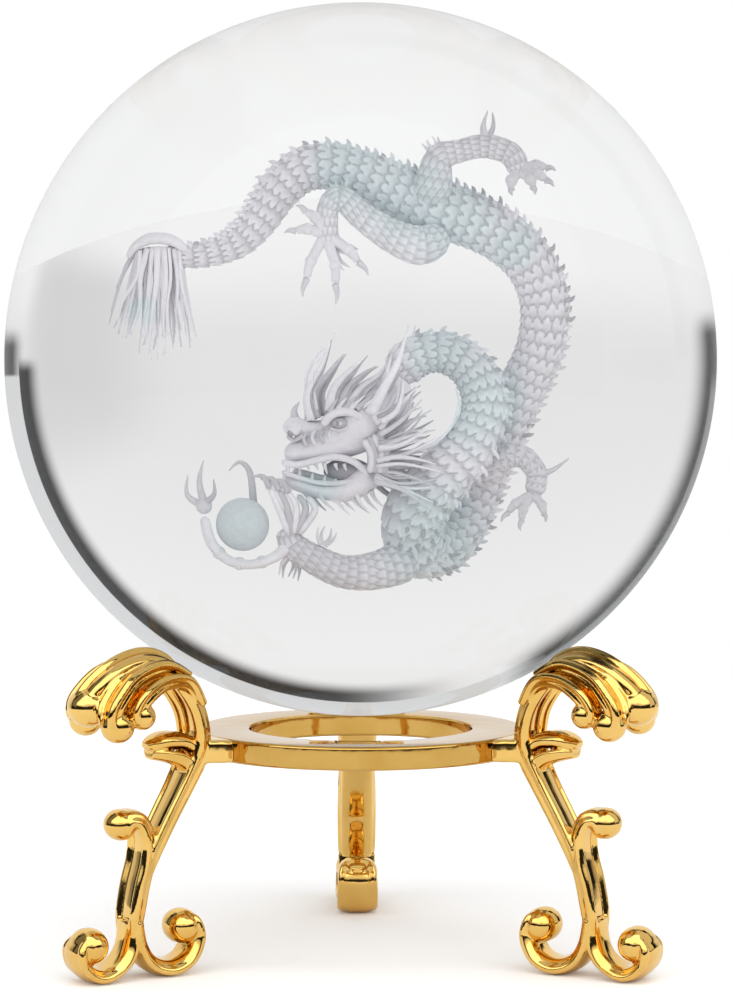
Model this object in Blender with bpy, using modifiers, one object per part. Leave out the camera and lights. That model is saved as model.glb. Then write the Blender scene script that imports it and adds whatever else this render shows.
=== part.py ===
"""Crystal ball on a three-legged gilt stand, in metres, +Z up, with the floor at z = 0.

A glass ball rests on the leaf heads of three cast scroll legs. The legs stand at 120 degree
steps round a flat ring, and a blind pin locates each leg's pad on the ring's outer edge.
"""

import math

import bmesh
import bpy
from mathutils import Matrix, Vector

MM = 0.001

# Ball
BALL_RADIUS = 40.0 * MM
BALL_CENTRE_Z = 67.2 * MM
BALL_SEGMENTS = 48
BALL_RINGS = 24

# Support ring
RING_OUTER_RADIUS = 18.6 * MM
RING_INNER_RADIUS = 12.6 * MM
RING_TOP_Z = 25.7 * MM
RING_THICKNESS = 2.6 * MM
RING_CHAMFER = 0.2 * MM
RING_SEGMENTS = 96

# Legs
LEG_AZIMUTHS = {"front_left": 210.0, "front_right": 330.0, "rear": 90.0}
STEM_WIDTH = 4.7 * MM
SCROLL_WIDTH = 5.4 * MM
NECK_WIDTH = 5.7 * MM
ROLL_SEGMENTS = 16
EDGE_SHARE = 0.28  # chamfer of a ribbon's edges as a share of its thickness
STEPS_PER_SPAN = 2
PAD_WIDTH = 6.6 * MM
FOOT_SINK = 0.15 * MM  # how far a foot's curve would pass below the floor before it is ground flat

# Joint between a leg and the ring
GAP = 0.3 * MM
PIN_RADIUS = 0.6 * MM
PIN_INNER_END = 15.2 * MM
PIN_OUTER_END = 20.6 * MM
PIN_SEGMENTS = 16


def clear_scene():
    for thing in list(bpy.data.objects):
        bpy.data.objects.remove(thing, do_unlink=True)


def make_collection(name):
    collection = bpy.data.collections.new(name)
    bpy.context.scene.collection.children.link(collection)
    return collection


def make_material(name, colour, metallic, roughness, transmission=0.0):
    material = bpy.data.materials.new(name)
    material.use_nodes = True
    shader = material.node_tree.nodes["Principled BSDF"]
    shader.inputs["Base Color"].default_value = (*colour, 1.0)
    shader.inputs["Metallic"].default_value = metallic
    shader.inputs["Roughness"].default_value = roughness
    shader.inputs["Transmission Weight"].default_value = transmission
    material.diffuse_color = (*colour, 1.0)
    material.metallic = metallic
    material.roughness = roughness
    return material


def make_object(name, mesh, collection, material=None):
    thing = bpy.data.objects.new(name, mesh)
    collection.objects.link(thing)
    if material:
        mesh.materials.clear()
        mesh.materials.append(material)
    return thing


def mesh_from(bm, name):
    bmesh.ops.recalc_face_normals(bm, faces=bm.faces)
    mesh = bpy.data.meshes.new(name)
    bm.to_mesh(mesh)
    bm.free()
    return mesh


def smooth(thing, angle=35.0):
    thing.data.shade_smooth()
    thing.data.set_sharp_from_angle(angle=math.radians(angle))


# Ribbons: the cast bands that the legs are made of


def through(stations, steps):
    """Points of a smooth Catmull-Rom curve through the stations, which may have any length."""
    points = []
    last = len(stations) - 1
    for i in range(last):
        before = stations[max(i - 1, 0)]
        after = stations[min(i + 2, last)]
        for step in range(steps):
            u = step / steps
            point = [
                0.5
                * (
                    2 * b
                    + (c - a) * u
                    + (2 * a - 5 * b + 4 * c - d) * u**2
                    + (3 * b - a - 3 * c + d) * u**3
                )
                for a, b, c, d in zip(before, stations[i], stations[i + 1], after)
            ]
            points.append(point)
    points.append(list(stations[last]))
    return points


def band_section(thickness, width):
    """Corners of a flat band's section, a rectangle with chamfered edges: (across, along Y)."""
    half_t = thickness / 2
    half_w = width / 2
    edge = min(thickness, width) * EDGE_SHARE
    return [
        (half_t, half_w - edge),
        (half_t - edge, half_w),
        (edge - half_t, half_w),
        (-half_t, half_w - edge),
        (-half_t, edge - half_w),
        (edge - half_t, -half_w),
        (half_t - edge, -half_w),
        (half_t, edge - half_w),
    ]


def ribbon(name, stations, collection):
    """A flat band along stations of (r, t, z, thickness, width) in millimetres.

    r is outwards from the stand's axis, t across the leg and z up.
    """
    path = through(stations, STEPS_PER_SPAN)
    bm = bmesh.new()
    loops = []
    for i, (r, t, z, thickness, width) in enumerate(path):
        ahead = path[min(i + 1, len(path) - 1)]
        back = path[max(i - 1, 0)]
        run = Vector((ahead[0] - back[0], 0, ahead[2] - back[2])).normalized()
        across = Vector((run.z, 0, -run.x))
        centre = Vector((r, t, z))
        loop = []
        for a, b in band_section(thickness, width):
            corner = centre + across * a + Vector((0, b, 0))
            loop.append(bm.verts.new(corner * MM))
        loops.append(loop)
    for near, far in zip(loops, loops[1:]):
        for k in range(len(near)):
            nxt = (k + 1) % len(near)
            bm.faces.new((near[k], near[nxt], far[nxt], far[k]))
    bm.faces.new(list(reversed(loops[0])))
    bm.faces.new(loops[-1])
    return make_object(name, mesh_from(bm, name), collection)


def cylinder(name, radius, length, matrix, segments, collection):
    """A capped cylinder, along the matrix's Z axis and centred on its origin."""
    bm = bmesh.new()
    bmesh.ops.create_cone(
        bm,
        cap_ends=True,
        segments=segments,
        radius1=radius,
        radius2=radius,
        depth=length,
        matrix=matrix,
    )
    return make_object(name, mesh_from(bm, name), collection)


def roll(name, r, z, radius, width, collection):
    """A scroll's rolled end: a cylinder across the leg, in millimetres, with chamfered rims."""
    turn = Matrix.Rotation(math.radians(90), 4, "X")
    place = Matrix.Translation(Vector((r, 0, z)) * MM) @ turn
    thing = cylinder(name, radius * MM, width * MM, place, ROLL_SEGMENTS, collection)
    bm = bmesh.new()
    bm.from_mesh(thing.data)
    rims = [edge for edge in bm.edges if abs(edge.verts[0].co.y - edge.verts[1].co.y) < 1e-6]
    bmesh.ops.bevel(
        bm, geom=rims, offset=radius * EDGE_SHARE * MM, segments=1, affect="EDGES", profile=0.5
    )
    bm.to_mesh(thing.data)
    bm.free()
    return thing


def boolean(target, other, operation):
    other.hide_render = True
    other.display_type = "WIRE"
    modifier = target.modifiers.new(operation.lower() + "_" + other.name, "BOOLEAN")
    modifier.operation = operation
    modifier.solver = "EXACT"
    modifier.object = other


def combined(name, solids, cutters):
    """The mesh of the solids joined into one body, less the cutters. All of them are removed."""
    base = solids[0]
    for solid in solids[1:]:
        boolean(base, solid, "UNION")
    for cutter in cutters:
        boolean(base, cutter, "DIFFERENCE")
    bpy.context.view_layer.update()
    shape = base.evaluated_get(bpy.context.evaluated_depsgraph_get())
    mesh = bpy.data.meshes.new_from_object(shape)
    mesh.name = name
    for thing in solids + cutters:
        bpy.data.objects.remove(thing, do_unlink=True)
    return mesh


# The leg, drawn in the plane of the stand's axis, in millimetres


def stem_solids(guides):
    """The upper band with its neck, and the lower band that it lies against."""
    neck = NECK_WIDTH / MM
    stem = STEM_WIDTH / MM
    upper = ribbon(
        "upper_band",
        [
            (27.5, 0, 11.6, 1.2, stem),
            (26.1, 0, 14.0, 2.0, stem),
            (24.2, 0, 17.3, 2.1, stem),
            (22.2, 0, 20.6, 2.2, 5.2),
            (20.8, 0, 23.6, 2.2, neck),
            (20.4, 0, 26.4, 2.0, neck),
            (21.0, 0, 29.2, 2.0, neck),
            (22.6, 0, 31.6, 2.0, neck + 0.6),
            (24.5, 0, 33.7, 2.2, neck + 1.4),
            (27.2, 0, 34.7, 2.2, neck + 2.2),
            (30.2, 0, 33.7, 2.2, neck + 1.6),
            (33.2, 0, 31.6, 2.2, neck + 0.2),
            (34.7, 0, 29.6, 1.9, neck - 1.2),
            (34.6, 0, 28.8, 1.5, neck - 2.0),
        ],
        guides,
    )
    lower = ribbon(
        "lower_band",
        [
            (29.9, 0, 15.5, 1.6, stem),
            (29.2, 0, 17.1, 1.8, stem + 0.2),
            (27.7, 0, 16.9, 1.9, stem + 0.4),
            (26.7, 0, 15.2, 2.0, stem + 0.7),
            (27.1, 0, 12.8, 2.2, stem + 0.9),
            (28.2, 0, 10.0, 2.3, stem + 0.8),
            (29.0, 0, 6.8, 2.1, stem + 0.3),
            (29.3, 0, 4.2, 2.1, stem),
        ],
        guides,
    )
    return [upper, lower]


def foot_solids(guides):
    """Two scrolls that part below the stem, each with a rolled end."""
    stem = STEM_WIDTH / MM
    scroll = SCROLL_WIDTH / MM
    sink = FOOT_SINK / MM
    half = 0.85  # half of a foot band's thickness
    outer = ribbon(
        "outer_foot",
        [
            (29.4, 0, 5.6, 1.7, stem),
            (29.7, 0, 3.0, 1.7, stem + 0.1),
            (31.1, 0, 1.3, 1.7, stem + 0.3),
            (33.2, 0, half - sink, 1.7, scroll),
            (35.0, 0, 1.8, 1.6, scroll),
            (35.3, 0, 3.6, 1.5, scroll),
            (34.1, 0, 4.7, 1.4, scroll),
        ],
        guides,
    )
    inner = ribbon(
        "inner_foot",
        [
            (29.1, 0, 5.6, 1.7, stem),
            (28.5, 0, 3.4, 1.7, stem + 0.1),
            (27.0, 0, 1.5, 1.7, stem + 0.3),
            (24.6, 0, half - sink, 1.7, scroll),
            (22.3, 0, 1.7, 1.6, scroll),
            (21.1, 0, 3.8, 1.5, scroll),
            (21.5, 0, 5.8, 1.4, scroll),
            (22.6, 0, 6.4, 1.4, scroll),
        ],
        guides,
    )
    rolls = [
        roll("outer_foot_roll", 33.9, 3.7, 1.6, scroll + 0.5, guides),
        roll("inner_foot_roll", 22.4, 5.3, 1.6, scroll + 0.5, guides),
        roll("middle_curl_roll", 29.6, 15.9, 1.5, stem + 0.6, guides),
    ]
    return [outer, inner] + rolls


def leaf_solids(guides):
    """The leaf head's side lobes and tip, the small spoon leaf and the pad on the ring."""
    solids = [roll("tip", 33.9, 29.2, 1.7, 5.0, guides)]
    for side, hand in (("near", -1), ("far", 1)):
        solids.append(
            ribbon(
                side + "_lobe",
                [
                    (26.9, hand * 2.4, 33.6, 1.8, 3.4),
                    (30.2, hand * 3.4, 32.3, 1.9, 3.6),
                    (32.6, hand * 3.9, 30.0, 2.0, 3.4),
                    (33.3, hand * 4.0, 27.9, 2.4, 3.0),
                    (32.9, hand * 4.0, 26.9, 1.4, 2.2),
                ],
                guides,
            )
        )
        solids.append(
            ribbon(
                side + "_curl",
                [
                    (24.4, hand * 2.6, 32.4, 1.6, 3.0),
                    (27.0, hand * 3.6, 31.7, 1.8, 3.2),
                    (29.4, hand * 4.3, 30.2, 1.9, 3.0),
                    (30.3, hand * 4.4, 28.8, 1.8, 2.6),
                    (30.1, hand * 4.4, 27.9, 1.2, 2.0),
                ],
                guides,
            )
        )
    solids.append(
        ribbon(
            "spoon_leaf",
            [
                (21.0, 0, 22.4, 1.6, 4.4),
                (23.0, 0, 24.0, 2.1, 4.8),
                (25.0, 0, 24.8, 2.2, 4.6),
                (26.3, 0, 24.2, 1.3, 3.4),
            ],
            guides,
        )
    )
    middle = (RING_TOP_Z - RING_THICKNESS / 2) / MM
    height = RING_THICKNESS / MM
    solids.append(
        ribbon(
            "pad",
            [
                (17.6, 0, middle, height, PAD_WIDTH / MM),
                (19.2, 0, middle, height, PAD_WIDTH / MM),
                (20.6, 0, middle, height, NECK_WIDTH / MM - 0.4),
            ],
            guides,
        )
    )
    return solids


def leg_cutters(guides):
    """The floor, the ring's edge and the pin's hole."""
    floor = bpy.data.meshes.new("floor")
    bm = bmesh.new()
    size = 20 * MM
    place = Matrix.Translation((28 * MM, 0, -size / 2)) @ Matrix.Scale(size, 4)
    bmesh.ops.create_cube(bm, size=1.0, matrix=place)
    bm.to_mesh(floor)
    bm.free()
    ring_space = cylinder(
        "ring_space",
        RING_OUTER_RADIUS + GAP,
        8 * MM,
        Matrix.Translation((0, 0, RING_TOP_Z - RING_THICKNESS / 2)),
        RING_SEGMENTS,
        guides,
    )
    hole = pin_solid("leg_pin_hole", 10 * MM, PIN_OUTER_END + GAP, PIN_RADIUS + GAP, guides)
    return [make_object("floor", floor, guides), ring_space, hole]


def pin_solid(name, start, end, radius, collection):
    """A cylinder along +X between two distances from the stand's axis, at the ring's mid height."""
    height = RING_TOP_Z - RING_THICKNESS / 2
    turn = Matrix.Rotation(math.radians(90), 4, "Y")
    place = Matrix.Translation(((start + end) / 2, 0, height)) @ turn
    return cylinder(name, radius, end - start, place, PIN_SEGMENTS, collection)


def leg_mesh(guides):
    solids = stem_solids(guides) + foot_solids(guides) + leaf_solids(guides)
    return combined("leg", solids, leg_cutters(guides))


# The other pieces


def ball_object(parts, material):
    bm = bmesh.new()
    bmesh.ops.create_uvsphere(bm, u_segments=BALL_SEGMENTS, v_segments=BALL_RINGS, radius=BALL_RADIUS)
    ball = make_object("crystal_ball", mesh_from(bm, "crystal_ball"), parts, material)
    ball.location = (0, 0, BALL_CENTRE_Z)
    smooth(ball)
    return ball


def ring_object(parts, guides, material):
    """A flat ring, turned from its section, with a blind hole for each leg's pin."""
    top = RING_TOP_Z
    bottom = RING_TOP_Z - RING_THICKNESS
    inner = RING_INNER_RADIUS
    outer = RING_OUTER_RADIUS
    edge = RING_CHAMFER
    section = [
        (outer - edge, top),
        (outer, top - edge),
        (outer, bottom + edge),
        (outer - edge, bottom),
        (inner + edge, bottom),
        (inner, bottom + edge),
        (inner, top - edge),
        (inner + edge, top),
    ]
    mesh = bpy.data.meshes.new("support_ring")
    corners = [(r, 0, z) for r, z in section]
    sides = [(k, (k + 1) % len(corners)) for k in range(len(corners))]
    mesh.from_pydata(corners, sides, [])
    ring = make_object("support_ring", mesh, parts, material)
    turned = ring.modifiers.new("turned", "SCREW")
    turned.steps = RING_SEGMENTS
    turned.render_steps = RING_SEGMENTS
    turned.use_merge_vertices = True
    turned.merge_threshold = 0.00001
    for side, azimuth in LEG_AZIMUTHS.items():
        hole = pin_solid(
            side + "_pin_hole", PIN_INNER_END - GAP, 20 * MM, PIN_RADIUS + GAP, guides
        )
        hole.rotation_euler.z = math.radians(azimuth)
        boolean(ring, hole, "DIFFERENCE")
    return ring


def leg_objects(parts, guides, material):
    mesh = leg_mesh(guides)
    for side, azimuth in LEG_AZIMUTHS.items():
        leg = make_object(side + "_leg", mesh, parts, material)
        leg.rotation_euler.z = math.radians(azimuth)
        smooth(leg)


def pin_objects(parts, material):
    for side, azimuth in LEG_AZIMUTHS.items():
        pin = pin_solid(side + "_leg_pin", PIN_INNER_END, PIN_OUTER_END, PIN_RADIUS, parts)
        pin.data.materials.append(material)
        pin.rotation_euler.z = math.radians(azimuth)
        smooth(pin)


def build():
    clear_scene()
    parts = make_collection("crystal_ball_on_stand")
    guides = make_collection("cutters")
    glass = make_material("clear_glass", (0.93, 0.95, 0.95), 0.0, 0.0, 1.0)
    gold = make_material("gold_plating", (0.93, 0.66, 0.24), 1.0, 0.08)
    steel = make_material("pin_steel", (0.62, 0.62, 0.64), 1.0, 0.3)
    ball_object(parts, glass)
    ring_object(parts, guides, gold)
    leg_objects(parts, guides, gold)
    pin_objects(parts, steel)


build()
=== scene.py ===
"""The looks of a crystal ball on a gilt three-legged stand: glass, engraving, cast legs, light."""

import math
import random

import bpy
import numpy as np
from mathutils import Matrix, Vector


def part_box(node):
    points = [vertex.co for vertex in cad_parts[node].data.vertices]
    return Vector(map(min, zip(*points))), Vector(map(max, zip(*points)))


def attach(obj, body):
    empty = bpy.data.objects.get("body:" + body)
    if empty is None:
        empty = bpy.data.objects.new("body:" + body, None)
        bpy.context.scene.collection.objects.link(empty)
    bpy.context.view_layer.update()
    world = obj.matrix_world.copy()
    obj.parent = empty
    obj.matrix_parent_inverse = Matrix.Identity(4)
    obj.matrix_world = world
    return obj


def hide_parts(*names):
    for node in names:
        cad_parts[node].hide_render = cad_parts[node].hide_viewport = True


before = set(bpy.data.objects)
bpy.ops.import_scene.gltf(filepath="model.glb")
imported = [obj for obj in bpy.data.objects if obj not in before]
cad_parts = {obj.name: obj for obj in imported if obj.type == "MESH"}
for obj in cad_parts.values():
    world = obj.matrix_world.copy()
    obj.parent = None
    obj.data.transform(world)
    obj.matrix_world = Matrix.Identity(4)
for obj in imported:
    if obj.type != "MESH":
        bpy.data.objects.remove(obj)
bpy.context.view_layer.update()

MM = 0.001

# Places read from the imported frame
ball_low, ball_high = (Vector(corner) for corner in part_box("crystal_ball"))
ring_low, ring_high = (Vector(corner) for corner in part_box("support_ring"))
BALL_CENTRE = (ball_low + ball_high) / 2
BALL_RADIUS = (ball_high.z - ball_low.z) / 2
RING_OUTER_RADIUS = (ring_high.x - ring_low.x) / 2
RING_TOP_Z = ring_high.z
RING_THICKNESS = ring_high.z - ring_low.z

# Stand
LEG_AZIMUTHS = {"front_left": 210.0, "front_right": 330.0, "rear": 90.0}
RING_WIDTH = 6.0 * MM
RING_EDGE = 0.35 * MM
RING_STEPS = 256
PAD_WIDTH = 6.6  # of the leg where it meets the ring, in millimetres
CASTING_VOXEL = 0.11 * MM
CASTING_SMOOTHING = 9
SEAT_GAP = 0.04 * MM  # least gap kept to the ball and the ring; the heads stand 0.4 mm off
BAND_STEPS = 8  # samples between two stations of a band
SECTION_POINTS = 24

# Ball
GLASS_INDEX = 1.5
GLASS_TINT = (0.915, 0.915, 0.915, 1.0)  # what each crossing of the surface lets through
GLASS_SHINE = 0.3  # share of the surface's reflection that is kept, as under a soft dark hood
GLASS_SHADOW = (0.93, 0.94, 0.94, 1.0)  # what shadow rays keep of the light
ENGRAVING_SEED = 7
HEAD_DEPTH = -6.2  # the dragon's head, in front of the ball's middle
TASSEL_HAIRS = 44
MANE_HAIRS = 26
PEARL_TONE = 0.78

FLOOR_GLOW = 0.12  # lifts the floor to the white of the tent, as it is seen directly
FLOOR_RADIUS = 300.0 * MM
FLOOR_DROP = 0.02 * MM  # keeps the floor from sharing a plane with the ground feet
FRONT_GATE = (97, 101, 181, 182)  # degrees off the +Y axis that count as the front
FRONT_TONE = (0.96, 0.96, 0.96)
WHITE = (1.0, 1.0, 1.0, 1.0)

# Camera, which stands level with the ball's centre
CAMERA_DISTANCE = 345 * MM
CAMERA_AZIMUTH = math.radians(-1.0)
CAMERA_LENS_MM = 109.8
CAMERA_TILT = math.radians(-2.61)
CAMERA_PAN = math.radians(0.10)


# Curves and meshes


def through(stations, steps):
    """Rows of a smooth Catmull-Rom curve through the stations."""
    rows = np.asarray(stations, dtype=float)
    before = np.vstack([rows[:1], rows[:-2]])
    after = np.vstack([rows[2:], rows[-1:]])
    u = (np.arange(steps) / steps)[None, :, None]
    a, b, c, d = (part[:, None, :] for part in (before, rows[:-1], rows[1:], after))
    spans = 0.5 * (
        2 * b + (c - a) * u + (2 * a - 5 * b + 4 * c - d) * u**2 + (3 * b - a - 3 * c + d) * u**3
    )
    return np.vstack([spans.reshape(-1, rows.shape[1]), rows[-1:]])


def tangents(points):
    ahead = np.vstack([points[1:], points[-1:]])
    back = np.vstack([points[:1], points[:-1]])
    run = ahead - back
    return run / np.maximum(np.linalg.norm(run, axis=1, keepdims=True), 1e-9)


class Shape:
    """Closed surfaces gathered into one mesh, in millimetres."""

    def __init__(self):
        self.points = []
        self.tones = []
        self.faces = []
        self.count = 0

    def add(self, points, faces, tones=1.0):
        self.points.append(np.asarray(points, dtype=float))
        self.tones.append(np.broadcast_to(np.ravel(tones), (len(points),)))
        self.faces.extend([tuple(int(i) + self.count for i in face) for face in faces])
        self.count += len(points)

    def loft(self, loops, tones=1.0):
        """A closed tube through loops of corners, capped at both ends."""
        rows, sides = loops.shape[:2]
        faces = []
        for i in range(rows - 1):
            for k in range(sides):
                nxt = (k + 1) % sides
                near = i * sides
                far = near + sides
                faces.append((near + k, near + nxt, far + nxt, far + k))
        faces.append(tuple(reversed(range(sides))))
        faces.append(tuple(range((rows - 1) * sides, rows * sides)))
        self.add(loops.reshape(-1, 3), faces, tones)

    def mesh(self, name):
        mesh = bpy.data.meshes.new(name)
        mesh.from_pydata((np.vstack(self.points) * MM).tolist(), [], self.faces)
        mesh.update()
        return mesh


def new_object(name, mesh, material):
    thing = bpy.data.objects.new(name, mesh)
    bpy.context.scene.collection.objects.link(thing)
    mesh.materials.clear()
    mesh.materials.append(material)
    return thing


def evaluated_mesh(thing):
    """The object's mesh with its modifiers applied. The object is removed."""
    bpy.context.scene.collection.objects.link(thing)
    bpy.context.view_layer.update()
    mesh = bpy.data.meshes.new_from_object(
        thing.evaluated_get(bpy.context.evaluated_depsgraph_get())
    )
    bpy.data.objects.remove(thing, do_unlink=True)
    return mesh


# Materials


def set_inputs(node, inputs):
    for key, value in inputs.items():
        node.inputs[key].default_value = value


def shader_nodes(name, inputs=None):
    material = bpy.data.materials.new(name)
    material.use_nodes = True
    tree = material.node_tree
    shader = tree.nodes["Principled BSDF"]
    set_inputs(shader, inputs or {})
    return material, tree, shader, tree.nodes["Material Output"]


def add_node(tree, kind, inputs=None, **settings):
    node = tree.nodes.new(kind)
    for key, value in settings.items():
        setattr(node, key, value)
    set_inputs(node, inputs or {})
    return node


def mixed(tree, factor, first, second):
    """A colour mix. The factor and the colours may be sockets, or the colours may be values."""
    node = add_node(tree, "ShaderNodeMix", data_type="RGBA")
    for key, value in (("Factor", factor), ("A", first), ("B", second)):
        if isinstance(value, tuple):
            node.inputs[key].default_value = (*value, 1.0)
        else:
            tree.links.new(value, node.inputs[key])
    return node.outputs["Result"]


def blended(tree, factor, first, second):
    """Two shaders mixed by a factor."""
    node = add_node(tree, "ShaderNodeMixShader")
    for socket, source in zip(node.inputs, (factor, first, second)):
        tree.links.new(source, socket)
    return node.outputs["Shader"]


def product(tree, first, second):
    node = add_node(tree, "ShaderNodeMath", operation="MULTIPLY")
    tree.links.new(first, node.inputs[0])
    tree.links.new(second, node.inputs[1])
    return node.outputs["Value"]


def object_noise(tree, scale, detail=4.0):
    """A noise over the object's own coordinates, with scale in cells per metre."""
    place = add_node(tree, "ShaderNodeTexCoord")
    noise = add_node(tree, "ShaderNodeTexNoise", {"Scale": scale, "Detail": detail})
    tree.links.new(place.outputs["Object"], noise.inputs["Vector"])
    return noise


def ranged(tree, source, low, high, from_low=0.0, from_high=1.0):
    limits = {"From Min": from_low, "From Max": from_high, "To Min": low, "To Max": high}
    node = add_node(tree, "ShaderNodeMapRange", limits)
    tree.links.new(source, node.inputs["Value"])
    return node.outputs["Result"]


def gold_material(name, deep, pale):
    """Mirror-bright plating over a hand-polished casting: slight waviness and patchy haze."""
    material, tree, shader, _ = shader_nodes(name, {"Metallic": 1.0})
    patches = object_noise(tree, 160.0)
    share = ranged(tree, patches.outputs["Fac"], 0.3, 1.0, 0.3, 0.6)
    tree.links.new(mixed(tree, share, deep, pale), shader.inputs["Base Color"])
    haze = object_noise(tree, 900.0, 6.0)
    tree.links.new(ranged(tree, haze.outputs["Fac"], 0.03, 0.11), shader.inputs["Roughness"])
    waves = object_noise(tree, 320.0, 2.0)
    bump = add_node(tree, "ShaderNodeBump", {"Strength": 0.12, "Distance": 0.25 * MM})
    tree.links.new(waves.outputs["Fac"], bump.inputs["Height"])
    tree.links.new(bump.outputs["Normal"], shader.inputs["Normal"])
    return material


# The cast leg, drawn in its own plane: r outwards, t across, z up, in millimetres


def superellipse(count, power):
    """Unit section between a circle (2) and a square (large power)."""
    angle = np.arange(count) * 2 * math.pi / count
    c, s = np.cos(angle), np.sin(angle)
    shape = lambda v: np.sign(v) * np.abs(v) ** (2 / power)
    return np.stack([shape(c), shape(s)], axis=1)


def placed_loops(path, section, half_a, half_b, offset_a, offset_b):
    """Loops of a section set across a path whose bands lie flat to the t axis."""
    places = path[:, :3]
    run = tangents(places * np.array([1, 0, 1]))
    across = np.stack([run[:, 2], np.zeros(len(run)), -run[:, 0]], axis=1)
    side = np.array([0.0, 1.0, 0.0])
    a = offset_a[:, None] + half_a[:, None] * section[None, :, 0]
    b = offset_b[:, None] + half_b[:, None] * section[None, :, 1]
    return places[:, None, :] + across[:, None, :] * a[..., None] + side * b[..., None]


def band(shape, stations, bead=0.5, seats=(-0.2,), power=4.0, steps=BAND_STEPS):
    """A cast band along stations of (r, t, z, thickness, width), with a bead along each edge.

    bead is the beads' radius, and seats say how far out they sit, as shares of the thickness.
    """
    path = through(stations, steps)
    thick, wide = path[:, 3] / 2, path[:, 4] / 2
    still = np.zeros(len(path))
    section = superellipse(SECTION_POINTS, power)
    plate = placed_loops(path, section, thick, wide - 0.25 * bead, still, still)
    shape.loft(plate)
    round_section = superellipse(12, 2.0)
    size = bead * np.minimum(1.0, thick / max(bead, 0.01))
    for seat in seats if bead else ():
        for hand in (-1, 1):
            edge = hand * (wide - 0.6 * size)
            shape.loft(placed_loops(path, round_section, size, size, seat * thick * 2, edge))


def barrel(shape, r, z, radius, width, t=0.0, power=2.6, steps=14):
    """A scroll's rolled end: a barrel across the leg with domed ends."""
    angle = np.linspace(-math.pi / 2, math.pi / 2, steps)
    lean = np.sign(np.sin(angle)) * np.abs(np.sin(angle)) ** (2 / power)
    girth = np.maximum(np.cos(angle), 0.0) ** (2 / power)
    ring = superellipse(SECTION_POINTS, 2.0)
    loops = []
    for along, size in zip(lean, girth):
        size = max(size, 0.02) * radius
        loop = [(r + x * size, t + along * width / 2, z + y * size) for x, y in ring]
        loops.append(loop)
    shape.loft(np.array(loops))


def stem(shape):
    """The upper stem with the arch of the head, and the lower stem with its small curl."""
    rows = [
        (27.9, 0, 11.2, 1.2, 4.0),
        (26.7, 0, 14.0, 1.7, 4.1),
        (24.9, 0, 17.3, 1.8, 4.1),
        (23.0, 0, 20.6, 1.9, 4.3),
        (21.5, 0, 23.6, 2.0, 4.8),
        (20.9, 0, 26.4, 1.6, 5.0),
    ]
    band(shape, rows, bead=0.4, seats=(0.36,), power=3.0)
    rows = [
        (22.2, 0, 22.0, 1.2, 4.0),
        (21.2, 0, 24.4, 1.4, 4.8),
        (20.9, 0, 26.4, 1.5, 5.0),
        (21.5, 0, 29.2, 1.5, 5.0),
        (23.2, 0, 31.9, 1.5, 5.2),
        (25.3, 0, 34.0, 1.6, 5.4),
        (27.8, 0, 34.7, 1.7, 5.2),
        (30.6, 0, 33.9, 1.9, 4.8),
        (33.4, 0, 32.0, 2.0, 4.6),
        (34.8, 0, 30.3, 1.6, 3.8),
    ]
    band(shape, rows, bead=0.78, seats=(0.5,), power=3.0)
    rows = [
        (30.9, 0, 16.2, 1.2, 3.4),
        (30.0, 0, 17.7, 1.5, 3.9),
        (28.5, 0, 17.4, 1.6, 4.0),
        (27.6, 0, 15.4, 1.6, 4.2),
        (27.7, 0, 12.8, 1.7, 4.3),
        (28.4, 0, 10.0, 1.8, 4.3),
        (29.0, 0, 6.8, 1.7, 4.1),
        (29.2, 0, 4.4, 1.0, 3.4),
    ]
    band(shape, rows, bead=0.6, seats=(-0.36,), power=3.0)
    barrel(shape, 30.5, 16.9, 1.75, 4.0, power=2.2)


def feet(shape):
    """Two rolled feet, one outwards and one towards the middle."""
    rows = [
        (29.4, 0, 6.4, 1.7, 4.2),
        (29.9, 0, 3.2, 1.8, 4.3),
        (31.4, 0, 1.45, 1.8, 4.5),
        (33.6, 0, 0.8, 1.8, 4.8),
        (35.4, 0, 1.9, 1.7, 4.7),
        (35.8, 0, 3.8, 1.5, 4.4),
        (34.6, 0, 5.0, 0.9, 3.2),
    ]
    band(shape, rows, seats=(0.1,), power=2.6)
    rows = [
        (29.1, 0, 6.4, 1.7, 4.2),
        (28.6, 0, 3.6, 1.8, 4.3),
        (27.3, 0, 1.65, 1.9, 4.4),
        (25.0, 0, 0.85, 2.0, 4.6),
        (22.8, 0, 1.7, 1.8, 4.6),
        (21.7, 0, 3.9, 1.6, 4.5),
        (22.1, 0, 5.8, 1.3, 4.0),
        (23.1, 0, 6.3, 0.9, 3.0),
    ]
    band(shape, rows, seats=(-0.1,), power=2.6)
    barrel(shape, 34.3, 4.0, 2.0, 5.0, power=2.2)
    barrel(shape, 23.1, 5.2, 1.95, 4.9, power=2.2)


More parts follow.
